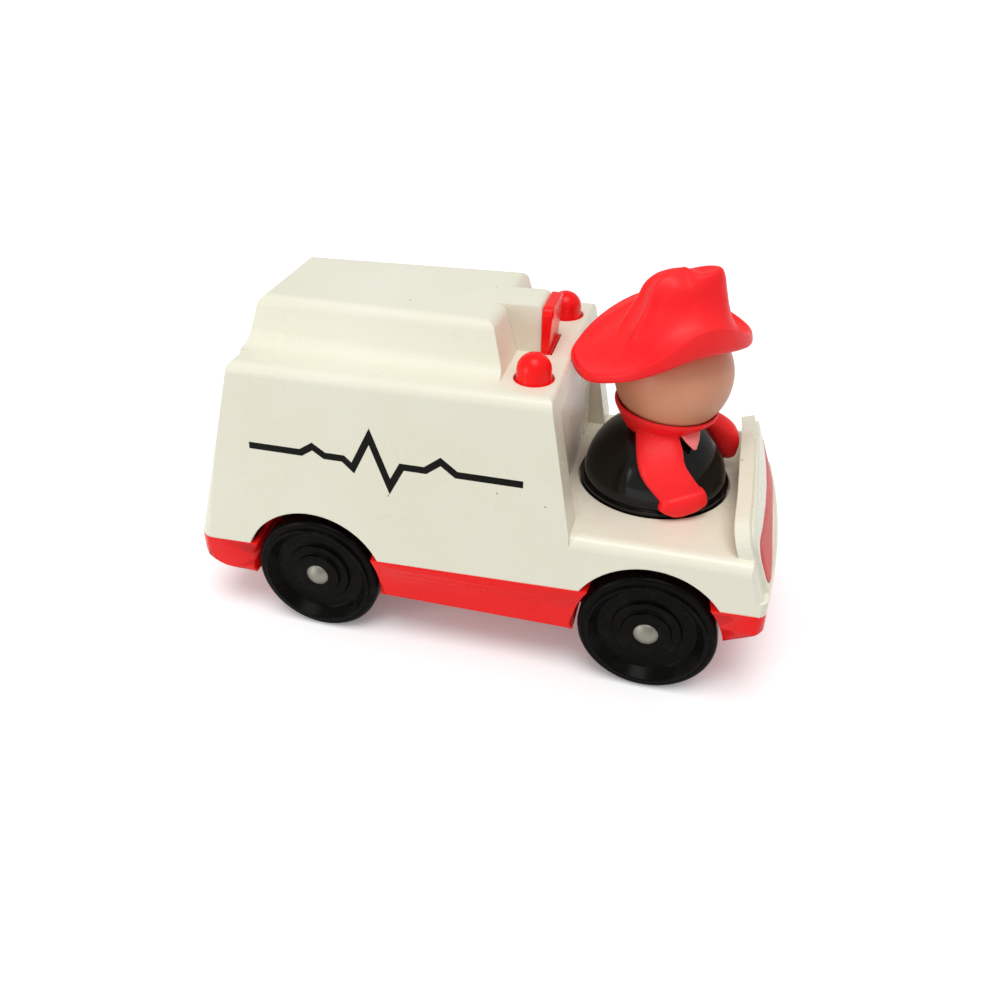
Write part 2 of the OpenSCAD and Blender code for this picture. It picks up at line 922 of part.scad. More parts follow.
// The driver's round head on its neck
neck_end_gap = 0.5;
module driver_head() {
    color(tan_skin) {
        translate([head_x, 0, head_z])
            sphere(d = head_d);
        translate([head_x, 0, neck_z - neck_l + neck_end_gap])
            cylinder(d = neck_d, h = head_z - neck_z + neck_l - neck_end_gap);
    }
}

// The driver's red hat: rings from the top of the crown over the brim and back inside to the head
hat_sides = 48;
hat_tilt = 7.6;
hat_gap = 0.35;
head_r = head_d / 2;
// Each ring of the crown: how far ahead it lies, its radius at the front, side and back, and its ridge,
// in head radii, its rise at the front, side and back in crown heights, and how narrow its front is
crown_shares = [
    [0.2, [0.3, 0.133, 0.2], 0, [0.841, 0.913, 1], 6],
    [0.2, [0.613, 0.26, 0.427], 0.027, [0.857, 0.841, 0.944], 6],
    [0.2, [0.7, 0.373, 0.62], 0.053, [0.73, 0.698, 0.762], 6],
    [0.2, [0.733, 0.48, 0.7], 0.045, [0.397, 0.397, 0.405], 5],
    [0.173, [0.787, 0.64, 0.86], 0.035, [0.048, 0.143, -0.016], 4],
    [0.12, [0.88, 0.8, 1.03], 0.02, [-0.206, 0, -0.286], 3]
];
crown_top_share = 0.227;
// Each ring of the brim: how far ahead it lies in head radii, its share of the brim's reach, and its
// height at the front, side and back in head radii
brim_shares = [
    [0.053, 0.4, [0.733, 1.04, 0.64]],
    [0, 0.88, [0.653, 0.987, 0.55]],
    [0, 1, [0.56, 0.92, 0.48]],
    [0, 0.92, [0.467, 0.827, 0.43]],
    [0, 0.43, [0.547, 0.773, 0.49]]
];
crown_foot_share = 1.027;
crown_foot = crown_shares[len(crown_shares) - 1];
brim_power = 2;
back_power = 1.7;
// Two ridges run up the back of the crown: their angle from the front, and their width, in degrees
ridge_angle = 158;
ridge_width = 10;
// Where the inside meets the head at the front, side and back, in degrees above its middle
inside_angles = [32.8, 43.2, 29.2];
inside_steps = 4;
function hat_blend(values, angle, power) =
    values[1] + (values[0] - values[1]) * pow(max(cos(angle), 0), power)
    + (values[2] - values[1]) * pow(max(-cos(angle), 0), back_power);
function ridge(angle) = exp(-pow((min(angle, 360 - angle) - ridge_angle) / ridge_width, 2));
function ring_point(angle, r, z, ahead) = [r * cos(angle) + ahead, r * sin(angle), z];
function crown_r(row, angle) = head_r * (hat_blend(row[1], angle, row[4]) + row[2] * ridge(angle));
function crown_point(row, angle) =
    ring_point(angle, crown_r(row, angle),
        head_r * crown_foot_share + crown_h * hat_blend(row[3], angle, row[4]), head_r * row[0]);
function brim_point(row, angle) =
    let (reach = hat_blend([brim_front, brim_side, brim_back], angle, brim_power))
    ring_point(angle, crown_r(crown_foot, angle) + reach * row[1],
        head_r * hat_blend(row[2], angle, brim_power), head_r * row[0]);
function inside_point(step, angle) =
    let (start = hat_blend(inside_angles, angle, brim_power))
    let (climb = start + (90 - start) * step / inside_steps)
    ring_point(angle, (head_r + hat_gap) * cos(climb), (head_r + hat_gap) * sin(climb), 0);
hat_angles = [for (i = [0 : hat_sides - 1]) 360 * i / hat_sides];
hat_rings = concat(
    [for (row = crown_shares) [for (angle = hat_angles) crown_point(row, angle)]],
    [for (row = brim_shares) [for (angle = hat_angles) brim_point(row, angle)]],
    [for (step = [0 : inside_steps - 1]) [for (angle = hat_angles) inside_point(step, angle)]]
);
module driver_hat() {
    last = len(hat_rings) - 1;
    top = hat_sides * (last + 1);
    points = concat([for (ring = hat_rings) each ring],
        [[head_r * crown_top_share, 0, head_r * crown_foot_share + crown_h], [0, 0, head_r + hat_gap]]);
    faces = concat(
        [for (j = [0 : last - 1]) for (i = [0 : hat_sides - 1])
            let (a = j * hat_sides + i, b = j * hat_sides + (i + 1) % hat_sides)
            each [[a, b, b + hat_sides], [a, b + hat_sides, a + hat_sides]]],
        [for (i = [0 : hat_sides - 1]) [(i + 1) % hat_sides, i, top]],
        [for (i = [0 : hat_sides - 1])
            [last * hat_sides + i, last * hat_sides + (i + 1) % hat_sides, top + 1]]);
    color(red)
        translate([head_x, 0, head_z])
            rotate([0, -hat_tilt, head_yaw])
                polyhedron(points, faces);
}

body_shell();
base();
light_bar();
front_grille();
front_axle();
rear_axle();
wheel_front_left();
wheel_front_right();
wheel_rear_left();
wheel_rear_right();
base_screws();
driver_body();
driver_jacket();
driver_head();
driver_hat();
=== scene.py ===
# %% [markdown]
# # Toy ambulance
# A moulded push toy: a white body on a red base, black wheels on steel axles, and a driver who
# lifts out of a round seat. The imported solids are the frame. This lesson gives them their finishes,
# models the hat, the jacket, the roof lights, the front panel and a print as surfaces, and sets up a
# plain studio.

# %% Load the frame
import json

import bmesh
import bpy
import numpy as np
from mathutils import Matrix, Vector


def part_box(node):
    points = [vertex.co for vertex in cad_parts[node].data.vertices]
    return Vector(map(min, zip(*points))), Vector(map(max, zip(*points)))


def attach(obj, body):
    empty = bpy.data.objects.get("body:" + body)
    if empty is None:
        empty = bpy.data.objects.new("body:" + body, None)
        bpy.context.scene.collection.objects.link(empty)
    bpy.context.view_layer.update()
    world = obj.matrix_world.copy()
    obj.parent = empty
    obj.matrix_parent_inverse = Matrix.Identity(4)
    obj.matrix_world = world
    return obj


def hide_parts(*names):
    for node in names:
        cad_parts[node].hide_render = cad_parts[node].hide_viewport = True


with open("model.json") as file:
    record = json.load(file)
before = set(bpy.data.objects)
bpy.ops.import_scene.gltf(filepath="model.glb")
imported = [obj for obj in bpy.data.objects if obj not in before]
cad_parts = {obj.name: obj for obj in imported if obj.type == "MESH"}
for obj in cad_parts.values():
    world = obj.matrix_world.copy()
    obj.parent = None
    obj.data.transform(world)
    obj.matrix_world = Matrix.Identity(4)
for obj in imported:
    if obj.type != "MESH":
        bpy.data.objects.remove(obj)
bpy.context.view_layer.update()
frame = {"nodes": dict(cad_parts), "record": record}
nodes = frame["nodes"]
MM = 0.001

# %% [markdown]
# ## Node helpers
# Every finish is a Principled shader with a few texture nodes in front of it. All textures read Object
# coordinates. Every piece sits at the origin, so those are metres in the frame, and a pattern has the
# same scale on each piece. Painted pictures would be another way, but they need a map for each piece.

# %% Helpers for materials and nodes
finishes = {}


def new_finish(name, **constants):
    """A material with a Principled shader. Keyword values are set on the shader's own sockets."""
    material = bpy.data.materials.new(name)
    material.use_nodes = True
    shader = material.node_tree.nodes["Principled BSDF"]
    for socket, value in constants.items():
        shader.inputs[socket.replace("_", " ")].default_value = value
    return material, material.node_tree, shader


def add(tree, kind, inputs=None, **settings):
    """A node of that kind. Settings are its properties. Inputs are values, or sockets to link from."""
    node = tree.nodes.new("ShaderNode" + kind)
    for key, value in settings.items():
        setattr(node, key, value)
    for key, value in (inputs or {}).items():
        if isinstance(value, bpy.types.NodeSocket):
            tree.links.new(value, node.inputs[key])
        else:
            node.inputs[key].default_value = value
    return node


def keep(material):
    """Files a finish under its name, without the number that Blender adds to a name in use."""
    name = material.name.split(".")[0]
    finishes[name] = material
    print("finish", name, "with", len(material.node_tree.nodes), "nodes")
    return material


# %% [markdown]
# ## Pattern helpers
# Most patterns here are soft noise whose range is stretched and then mixes two colours or sets the
# roughness. Short helpers keep the finishes below readable.

# %% Helpers for patterns
def place(tree, scale=(1, 1, 1)):
    """Object coordinates, stretched."""
    coordinates = add(tree, "TexCoord").outputs["Object"]
    return add(tree, "Mapping", {"Vector": coordinates, "Scale": scale}).outputs["Vector"]


def noise(tree, where, scale, detail=3.0, roughness=0.5):
    """Soft noise with so many features to the metre."""
    grain = {"Vector": where, "Scale": scale, "Detail": detail, "Roughness": roughness}
    return add(tree, "TexNoise", grain).outputs["Fac"]


def remap(tree, value, low, high, to_low=0.0, to_high=1.0):
    """A value's range low to high taken to another range, and held at its ends."""
    ends = {"From Min": low, "From Max": high, "To Min": to_low, "To Max": to_high}
    return add(tree, "MapRange", {"Value": value, **ends}).outputs["Result"]


def multiply(tree, first, second):
    """The product of two values."""
    return add(tree, "Math", {0: first, 1: second}, operation="MULTIPLY").outputs[0]


def mix_colour(tree, share, first, second):
    """First colour where share is 0, second where it is 1."""
    made = add(tree, "Mix", data_type="RGBA")
    for socket, value in zip((made.inputs[0], made.inputs[6], made.inputs[7]), (share, first, second)):
        if isinstance(value, bpy.types.NodeSocket):
            tree.links.new(value, socket)
        else:
            socket.default_value = value
    return made.outputs[2]


# %% [markdown]
# ## Soft edges
# A moulded edge is never sharp. The Bevel node rounds the shading at every edge, so the solids' meshes
# can stay as they are, and a Bump node lays fine relief over it. Both could be modelled, but that would
# take many more faces.

# %% Helpers for relief
edge_r = 0.4 * MM


def bump(tree, shader, height, strength, distance):
    """Fine relief on a shader's normal, a distance high in metres, over edges rounded a little."""
    soft_edges = add(tree, "Bevel", {"Radius": edge_r}, samples=4).outputs["Normal"]
    relief = {"Height": height, "Strength": strength, "Distance": distance, "Normal": soft_edges}
    tree.links.new(add(tree, "Bump", relief).outputs["Normal"], shader.inputs["Normal"])


# %% [markdown]
# ## White plastic
# The white moulding is glossy but no longer new. It has a warm ivory tone that drifts a little, sparse
# grey specks, and fine rubbed marks that dull the gloss. Specks are small discs round the points of a
# Voronoi pattern, kept in few of its cells. Noise alone would give blots instead of dots.

# %% White plastic
def white_plastic():
    """Ivory between two tones, with grey specks and a gloss that is rubbed in places."""
    material, tree, shader = new_finish("white_plastic", IOR=1.49, Specular_IOR_Level=0.4)
    tone = remap(tree, noise(tree, place(tree), 22), 0.35, 0.65)
    ivory = mix_colour(tree, tone, (0.80, 0.785, 0.635, 1), (0.83, 0.81, 0.68, 1))
    cells = add(tree, "TexVoronoi", {"Vector": place(tree), "Scale": 210.0})
    chosen = remap(tree, cells.outputs["Color"], 0.86, 0.88)
    dots = remap(tree, cells.outputs["Distance"], 0.05, 0.09, 1.0, 0.0)
    specks = multiply(tree, multiply(tree, dots, chosen), 0.6)
    colour = mix_colour(tree, specks, ivory, (0.16, 0.15, 0.13, 1))
    tree.links.new(colour, shader.inputs["Base Color"])
    rubbed = noise(tree, place(tree), 45, 4, 0.6)
    tree.links.new(remap(tree, rubbed, 0.35, 0.7, 0.24, 0.36), shader.inputs["Roughness"])
    bump(tree, shader, noise(tree, place(tree), 160, 2), 0.04, 0.0003)
    return material


keep(white_plastic())

# %% [markdown]
# ## Red plastic
# The base and the roof lights are the same bright red, hard and glossy. A single colour would look too
# even, so it is built like the white plastic, without the specks. It has less shine, so that the pale
# room doesn't wash the colour out.

# %% Red plastic
def red_plastic():
    """Red between two tones, with a gloss that is rubbed in places."""
    material, tree, shader = new_finish("red_plastic", IOR=1.49, Specular_IOR_Level=0.22)
    tone = remap(tree, noise(tree, place(tree), 30), 0.3, 0.7)
    colour = mix_colour(tree, tone, (0.93, 0.004, 0.006, 1), (0.97, 0.010, 0.009, 1))
    tree.links.new(colour, shader.inputs["Base Color"])
    rubbed = noise(tree, place(tree), 50, 4, 0.6)
    tree.links.new(remap(tree, rubbed, 0.35, 0.7, 0.2, 0.34), shader.inputs["Roughness"])
    bump(tree, shader, noise(tree, place(tree), 160, 2), 0.04, 0.0003)
    return material


keep(red_plastic())

# %% [markdown]
# ## Red vinyl
# The hat and the jacket are soft vinyl. It is duller than the hard plastic and lets a little light in. A
# Translucent shader would be one way, but it is meant for thin sheets, so a small share of subsurface
# scattering does it here. The two reds are arguments, so that a thin flap and a faded panel can use the
# same finish.

# %% Red vinyl
def red_vinyl(name, dark, light):
    """Red between two tones, with a fine grain and a little light scattered below the surface."""
    material, tree, shader = new_finish(
        name, IOR=1.45, Specular_IOR_Level=0.3,
        Subsurface_Weight=0.1, Subsurface_Scale=0.0015, Subsurface_Radius=(1.0, 0.25, 0.2))
    tone = remap(tree, noise(tree, place(tree), 60), 0.3, 0.7)
    colour = mix_colour(tree, tone, dark, light)
    tree.links.new(colour, shader.inputs["Base Color"])
    grain = noise(tree, place(tree), 1500, 3, 0.6)
    tree.links.new(remap(tree, grain, 0.3, 0.7, 0.36, 0.5), shader.inputs["Roughness"])
    bump(tree, shader, grain, 0.08, 0.0002)
    return material


keep(red_vinyl("red_vinyl", (0.93, 0.008, 0.014, 1), (0.98, 0.02, 0.022, 1)))

# %% [markdown]
# ## Black plastics
# The driver's body is polished and shows sharp highlights. The wheels come from a rougher mould. One
# function makes both, because only their polish and shine differ.

# %% Black plastics
def black_plastic(name, polished, worn, shine):
    """Black that is duller and a little greyer where it is rubbed."""
    material, tree, shader = new_finish(name, IOR=1.5, Specular_IOR_Level=shine)
    rubbed = noise(tree, place(tree), 180, 5, 0.65)
    tree.links.new(remap(tree, rubbed, 0.4, 0.8, polished, worn), shader.inputs["Roughness"])
    greyed = remap(tree, rubbed, 0.5, 0.9)
    colour = mix_colour(tree, greyed, (0.003, 0.0028, 0.0022, 1), (0.012, 0.0115, 0.010, 1))
    tree.links.new(colour, shader.inputs["Base Color"])
    bump(tree, shader, noise(tree, place(tree), 1100, 2), 0.05, 0.0002)
    return material


keep(black_plastic("wheel_black", polished=0.2, worn=0.4, shine=0.05))
keep(black_plastic("body_black", polished=0.12, worn=0.26, shine=0.28))

# %% [markdown]
# ## Head and axles
# The head is a satin tan with faint blotches. The axle ends are dull rod, a little brushed. A picture of
# brushed steel could be mapped on, but noise that is squeezed along the rod makes the same fine lines
# across it and needs no map.

# %% Head and axles
def head_tan():
    """Tan between two tones, with a satin that is rubbed in places."""
    material, tree, shader = new_finish("head_tan", IOR=1.46)
    tone = remap(tree, noise(tree, place(tree), 70, 4), 0.3, 0.7)
    colour = mix_colour(tree, tone, (0.60, 0.265, 0.145, 1), (0.68, 0.305, 0.175, 1))
    tree.links.new(colour, shader.inputs["Base Color"])
    rubbed = noise(tree, place(tree), 260, 5, 0.65)
    tree.links.new(remap(tree, rubbed, 0.35, 0.75, 0.34, 0.5), shader.inputs["Roughness"])
    bump(tree, shader, noise(tree, place(tree), 1300, 2), 0.06, 0.0002)
    return material


def axle_steel():
    """Dull steel between two tones, with streaks across the rod."""
    material, tree, shader = new_finish("axle_steel", Metallic=1.0)
    streaks = noise(tree, place(tree, (1, 9, 1)), 700, 4, 0.6)
    colour = mix_colour(tree, streaks, (0.20, 0.20, 0.165, 1), (0.32, 0.32, 0.27, 1))
    tree.links.new(colour, shader.inputs["Base Color"])
    tree.links.new(remap(tree, streaks, 0.3, 0.7, 0.38, 0.55), shader.inputs["Roughness"])
    bump(tree, shader, streaks, 0.1, 0.0002)
    return material


keep(head_tan())
keep(axle_steel())

# %% [markdown]
# ## Finishes on the solids
# The record names a material slot for each node, so one loop can give out the finishes, instead of a
# line for each piece.

# %% Give the solids their finishes
for row in frame["record"]["subparts"]:
    piece = nodes[row["node"]]
    piece.data.materials.clear()
    piece.data.materials.append(finishes[row["material_slot"]])

# %% [markdown]
# ## Surfaces from rings
# The hat and the jacket are soft mouldings without a flat face, so sculpting would be one way. Here each
# is a grid of points instead: a few chosen rings, and a smooth curve through them from ring to ring. The
# rings can be measured and changed one by one, and the same helpers serve every piece.

# %% A smooth curve through rings
def smooth_path(keys, steps):
    """Catmull-Rom curve through keys along the first axis. Each span is a cubic, and its slope at a
    key is half the way from the key before to the key after."""
    keys = np.concatenate([2 * keys[:1] - keys[1:2], keys, 2 * keys[-1:] - keys[-2:-1]])
    before, start, stop, after = (keys[i : len(keys) - 3 + i, None] for i in range(4))
    t = (np.arange(steps) / steps).reshape((1, steps) + (1,) * (keys.ndim - 1))
    square = 2 * before - 5 * start + 4 * stop - after
    cube = 3 * start - before - 3 * stop + after
    curve = start + ((stop - before) * t + square * t**2 + cube * t**3) / 2
    return np.concatenate([curve.reshape((-1,) + keys.shape[1:]), keys[-2:-1]])


# %% A closed mesh from rings
def ring_surface(rows):
    """Points and faces of a grid of closed rings. A fan to its middle closes the first ring and the
    last. The sum of the corner products of the sheet's faces is a volume, and its sign turns all faces
    outwards."""
    count, sides = rows.shape[:2]
    index = np.arange(count * sides).reshape(count, sides)
    beside = np.roll(index, -1, axis=1)
    points = np.concatenate([rows.reshape(-1, 3), rows[[0, -1]].mean(axis=1)])
    sheet = np.stack([index[:-1], index[1:], beside[1:], beside[:-1]], axis=-1).reshape(-1, 4)
    first = np.stack([beside[0], np.full(sides, count * sides), index[0]], axis=-1)
    last = np.stack([index[-1], np.full(sides, count * sides + 1), beside[-1]], axis=-1)
    a, b, c, d = np.moveaxis((points - points.mean(axis=0))[sheet], 1, 0)
    volume = np.sum(a * np.cross(b, c)) + np.sum(a * np.cross(c, d))
    way = 1 if volume > 0 else -1
    return points, [face for part in (sheet, first, last) for face in part[:, ::way].tolist()]


# %% A piece from surfaces
def make_piece(name, surfaces, finish, body):
    """One smooth mesh of several ring surfaces, in millimetres, that rides on a body."""
    offsets = np.cumsum([0] + [len(points) for points, _ in surfaces])
    points = np.concatenate([points for points, _ in surfaces]) * MM
    faces = [[corner + start for corner in face]
             for start, (_, surface_faces) in zip(offsets, surfaces) for face in surface_faces]
    mesh = bpy.data.meshes.new(name)
    mesh.from_pydata(points.tolist(), [], faces)
    mesh.polygons.foreach_set("use_smooth", np.ones(len(faces), bool))
    mesh.materials.append(finish)
    piece = bpy.data.objects.new(name, mesh)
    bpy.context.collection.objects.link(piece)
    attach(piece, body)
    print(name, len(points), "points,", len(faces), "faces")
    return piece


# %% [markdown]
# ## Where the driver is
# The head is a ball, and the body below it a dome. Their middles could be typed in. Here they come from
# the frame, so the hat and the jacket follow the solids that carry them.

# %% Head and dome from the frame
head_low, head_high = (np.array(corner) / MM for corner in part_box("driver_head"))
head_r = (head_high - head_low)[1] / 2
head_mid = np.append((head_low + head_high)[:2] / 2, head_high[2] - head_r)
body_low, body_high = (np.array(corner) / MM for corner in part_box("driver_body"))
dome_above_spigot = 13.2
dome_mid = np.append((body_low + body_high)[:2] / 2, body_low[2] + dome_above_spigot)
print("head", head_mid.round(2), "radius", round(head_r, 2), "dome", dome_mid.round(2))

# %% [markdown]
# ## Hat
# A soft moulded hat: a crown that is pinched on both sides, two ridges up its back, and a wide brim that
# dips at the front and the back and has a rolled lip. Each ring has one radius and one height for the
# front, the side and the back. Between them they follow powers of the cosine of the turn. The brim also
# curls up beside the face, more on the right. The last rings go back inside and lie close to the head.
# Sculpting would give such a shape too, but rings can be fitted to measured outlines one by one.

# %% Sizes of the hat
hat_turn = np.linspace(0, 2 * np.pi, 128, endpoint=False)
hat_gap = 0.35
crown_h = 12.6
brim_reach = (6.1, 6.4, 9.4)
# Rings of the crown: ahead, radii and ridge in head radii, rises in crown heights, and the front's power
crown_shares = [
    (0.2, (0.3, 0.133, 0.2), 0, (0.841, 0.913, 1), 6),
    (0.2, (0.613, 0.25, 0.39), 0.04, (0.857, 0.82, 0.93), 6),
    (0.2, (0.7, 0.35, 0.55), 0.08, (0.73, 0.68, 0.74), 6),
    (0.2, (0.733, 0.45, 0.68), 0.1, (0.397, 0.397, 0.42), 5),
    (0.173, (0.787, 0.62, 0.88), 0.1, (0.048, 0.143, 0.03), 4),
    (0.12, (0.88, 0.8, 1.06), 0.04, (-0.206, 0, -0.25), 3),
]
# Rings of the brim: ahead in head radii, share of its reach, heights in head radii, share of the curl
brim_shares = [
    (0.053, 0.4, (0.69, 0.97, 0.62), 0),
    (0, 0.7, (0.66, 0.97, 0.56), 0.35),
    (0, 0.92, (0.67, 1.02, 0.57), 1),
    (0, 1, (0.6, 0.95, 0.5), 0.9),
    (0, 0.95, (0.467, 0.827, 0.42), 0.1),
    (0, 0.43, (0.547, 0.773, 0.49), 0),
]
crown_foot_share = 1.027
crown_top_share = 0.227
crown_top_r = 0.3
# Two ridges up the back, and the curl beside the face: degrees from the front, and how wide
ridge_at, ridge_width = np.radians((162, 8))
curl_at, curl_width = np.radians((78, 36))
brim_curl = 0.28
curl_mean, curl_swing = 0.55, 0.45
# The inside climbs from these angles above the head's middle to the top, in these shares
inside_angles = (32.8, 43.2, 29.2)
inside_shares = np.linspace(0, 0.98, 7)
back_power = 1.7
print("hat", len(crown_shares) + len(brim_shares), "chosen rings of", len(hat_turn), "points")


# %% Rings of the hat
def around(values, power):
    """The side's value, changed towards the front's by the cosine to a power, and towards the
    back's by the cosine to a power of its own."""
    front, side, back = values
    fore, aft = np.maximum(np.cos(hat_turn), 0), np.maximum(-np.cos(hat_turn), 0)
    return side + (front - side) * fore**power + (back - side) * aft**back_power


def hat_ring(ahead, radius, height):
    """A closed ring round the hat's axis, moved ahead."""
    return np.stack([ahead + radius * np.cos(hat_turn), radius * np.sin(hat_turn), height], axis=-1)


def hat_rows():
    """Rings from the top of the crown over the brim's lip to the inside, in the head's frame. The
    ridges and the curl are bell curves of the angle from the front. The sine of the turn makes the
    curl a tenth as high on the left as on the right."""
    from_front = np.abs((hat_turn + np.pi) % (2 * np.pi) - np.pi)
    ridge = np.exp(-(((from_front - ridge_at) / ridge_width) ** 2))
    curl = np.exp(-(((from_front - curl_at) / curl_width) ** 2))
    curl *= curl_mean - curl_swing * np.sin(hat_turn)
    flat = np.ones_like(hat_turn)
    foot_z = crown_foot_share * head_r
    rows = [hat_ring(crown_top_share * head_r, crown_top_r, (foot_z + crown_h) * flat)]
    for ahead, radii, lift, rises, power in crown_shares:
        radius = head_r * (around(radii, power) + lift * ridge)
        rows.append(hat_ring(ahead * head_r, radius, foot_z + crown_h * around(rises, power)))
    for ahead, share, heights, curled in brim_shares:
        height = around(heights, 2) + brim_curl * curled * curl
        rows.append(hat_ring(ahead * head_r, radius + share * around(brim_reach, 2), head_r * height))
    start = np.radians(around(inside_angles, 2))
    inside_r = head_r + hat_gap
    for share in inside_shares:
        climb = start + (np.pi / 2 - start) * share
        rows.append(hat_ring(0, inside_r * np.cos(climb), inside_r * np.sin(climb)))
    return np.stack(rows)


# %% Hat
hat_steps = 6
look_left = np.radians(26)
tilt_back = np.radians(-7.6)
hat_turned = Matrix.Rotation(look_left, 3, "Z") @ Matrix.Rotation(tilt_back, 3, "Y")
hat_points = head_mid + smooth_path(hat_rows(), hat_steps) @ np.array(hat_turned).T
hat = make_piece("hat", [ring_surface(hat_points)], finishes["red_vinyl"], "driver_head")
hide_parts("driver_hat")

# %% [markdown]
# ## Jacket
# One soft moulding: a collar that opens under the head, and two flat arms. The collar is a funnel of
# rings, higher at the back. An arm is a strap between two edge lines, with a flattened oval across. The
# pieces overlap. A Boolean could join them, but with sharp seams. A voxel Remesh makes them one skin
# instead, and a few rounds of Smooth soften the seams.

# %% Collar
collar_turn = np.linspace(0, 2 * np.pi, 96, endpoint=False)
collar_steps = 5
# Rings from the neck up inside, over the rim and down outside: radius and depth below the head's
# middle, at the back and at the front
collar_rings = [
    ((5.0, 14.9), (5.0, 15.2)),
    ((9.8, 11.9), (8.4, 12.8)),
    ((13.2, 7.9), (11.4, 10.3)),
    ((14.0, 7.1), (12.2, 9.5)),
    ((14.3, 8.3), (12.4, 10.6)),
    ((12.8, 11.6), (11.0, 11.9)),
    ((10.9, 15.6), (8.6, 13.2)),
]


def collar_ring(back, front):
    """A ring whose radius and depth go from the back's to the front's with the cosine of the turn."""
    fore = (1 + np.cos(collar_turn)) / 2
    radius, depth = (b + (f - b) * fore for b, f in zip(back, front))
    return np.stack([radius * np.cos(collar_turn), radius * np.sin(collar_turn), -depth], axis=-1)


collar_keys = np.stack([collar_ring(*ring) for ring in collar_rings])
collar = head_mid + smooth_path(collar_keys, collar_steps)
print("collar", collar.shape[0], "rings of", collar.shape[1])


# %% [markdown]
# ## Arms
# Each arm hangs as a flat strap over the dome, from the shoulder to a cuff and a hand. A Shrinkwrap
# modifier could lay a strip on the dome. Here a strap runs between two edge lines, given by points from
# the dome's middle, so that its cuff and its hand can be shaped point by point.

# %% A strap between two lines
strap_steps = 8
strap_sides = 40
oval_power = 0.7


def strap(first_edge, second_edge, half_thick):
    """A strap with its edges on two lines of points. Across it, an oval with the cosine and sine
    raised to a power below one goes from edge to edge and half a thickness up and down."""
    edges = (np.array(edge) for edge in (first_edge, second_edge))
    first, second = (dome_mid + smooth_path(edge, strap_steps) for edge in edges)
    thick = smooth_path(np.array(half_thick)[:, None], strap_steps)
    middle, half = (first + second) / 2, (second - first) / 2
    across = np.cross(half, np.gradient(middle, axis=0))
    across *= thick / np.linalg.norm(across, axis=1)[:, None]
    turn = np.linspace(0, 2 * np.pi, strap_sides, endpoint=False)
    wide, high = (np.sign(wave) * np.abs(wave) ** oval_power for wave in (np.cos(turn), np.sin(turn)))
    return middle[:, None] + half[:, None] * wide[:, None] + across[:, None] * high[:, None]


# %% Arms
# Edge lines from the shoulder to the hand, from the dome's middle: the cuff is the widest stretch
right_arm = strap(
    [(-4.4, -3.5, 18.9), (-5.1, -7.9, 17.9), (-4.5, -12.6, 15.1), (-3.2, -16.4, 11.3),
     (-1.0, -18.6, 8.2), (3.4, -19.6, 3.7), (3.3, -20.0, 3.4), (3.2, -20.2, 1.9),
     (3.9, -20.0, 1.1), (6.5, -19.2, -0.3)],
    [(4.4, -4.5, 18.5), (5.6, -8.6, 17.3), (7.2, -11.6, 14.7), (8.2, -13.8, 12.1),
     (10.6, -14.6, 9.0), (13.2, -14.4, 5.8), (14.0, -14.4, 5.1), (14.4, -14.6, 2.5),
     (12.8, -16.0, 1.1), (9.0, -18.2, -0.3)],
    [1.5, 2.0, 2.2, 2.2, 2.2, 2.2, 2.7, 2.7, 2.3, 1.2],
)
left_arm = strap(
    [(3.0, 7.0, 13.0), (8.0, 8.5, 12.0), (10.8, 9.5, 9.8),
     (13.6, 10, 6.4), (16.7, 10, 2.8), (18.6, 10, 2.0)],
    [(5.0, 6.0, 18.0), (11.2, 8, 16.4), (16.0, 9.5, 14.4),
     (19.6, 10, 11.6), (21.2, 10, 7.6), (20.8, 10, 3.4)],
    [2.8, 3.2, 3.2, 3.2, 2.8, 1.4],
)
print("arms", right_arm.shape[0], "and", left_arm.shape[0], "rings")

# %% Jacket
voxel = 0.25 * MM
jacket_parts = [ring_surface(rows) for rows in (collar, right_arm, left_arm)]
jacket = make_piece("jacket", jacket_parts, finishes["red_vinyl"], "driver")
merge = jacket.modifiers.new("merge", "REMESH")
merge.mode = "VOXEL"
merge.voxel_size = voxel
merge.use_smooth_shade = True
soften = jacket.modifiers.new("soften", "SMOOTH")
soften.factor = 0.5
soften.iterations = 6
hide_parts("driver_jacket")

# %% [markdown]
# ## Lapel
# A thin pointed flap lies over the dome below the collar. It is so thin that light shows through it, so
# it looks paler than the rest of the jacket, and that light is painted into its paler red. It could be
# joined to the jacket, but then it would have the jacket's colour. So it is a piece of its own, a strap
# whose edges meet in a point.

# %% Lapel
# The lapel's paler red is painted light: it stands for the light that shows through the thin flap.
lapel_painted_light = keep(red_vinyl("lapel_painted_light", (0.92, 0.20, 0.19, 1), (0.95, 0.28, 0.26, 1)))
lapel_rows = strap(
    [(4.6, -5.0, 19.8), (5.6, -8.4, 18.6), (7.4, -10.0, 16.8), (9.8, -10.4, 14.8)],
    [(9.2, -0.6, 19.2), (10.2, -3.0, 18.2), (10.8, -6.6, 16.6), (10.4, -9.8, 14.6)],
    [0.6, 0.6, 0.5, 0.3],
)
lapel = make_piece("lapel", [ring_surface(lapel_rows)], lapel_painted_light, "driver")

# %% [markdown]
# ## Base with deep housings
# On the toy the red wheel housings end well behind the white arches, so that only the black tread shows
# in the gap. The solid's housings end close behind the side. A new base could be modelled, but a merged
# copy of the solid keeps all its other faces. In it the ends of the housings, above the red sill and
# round each axle, are set back along Y.

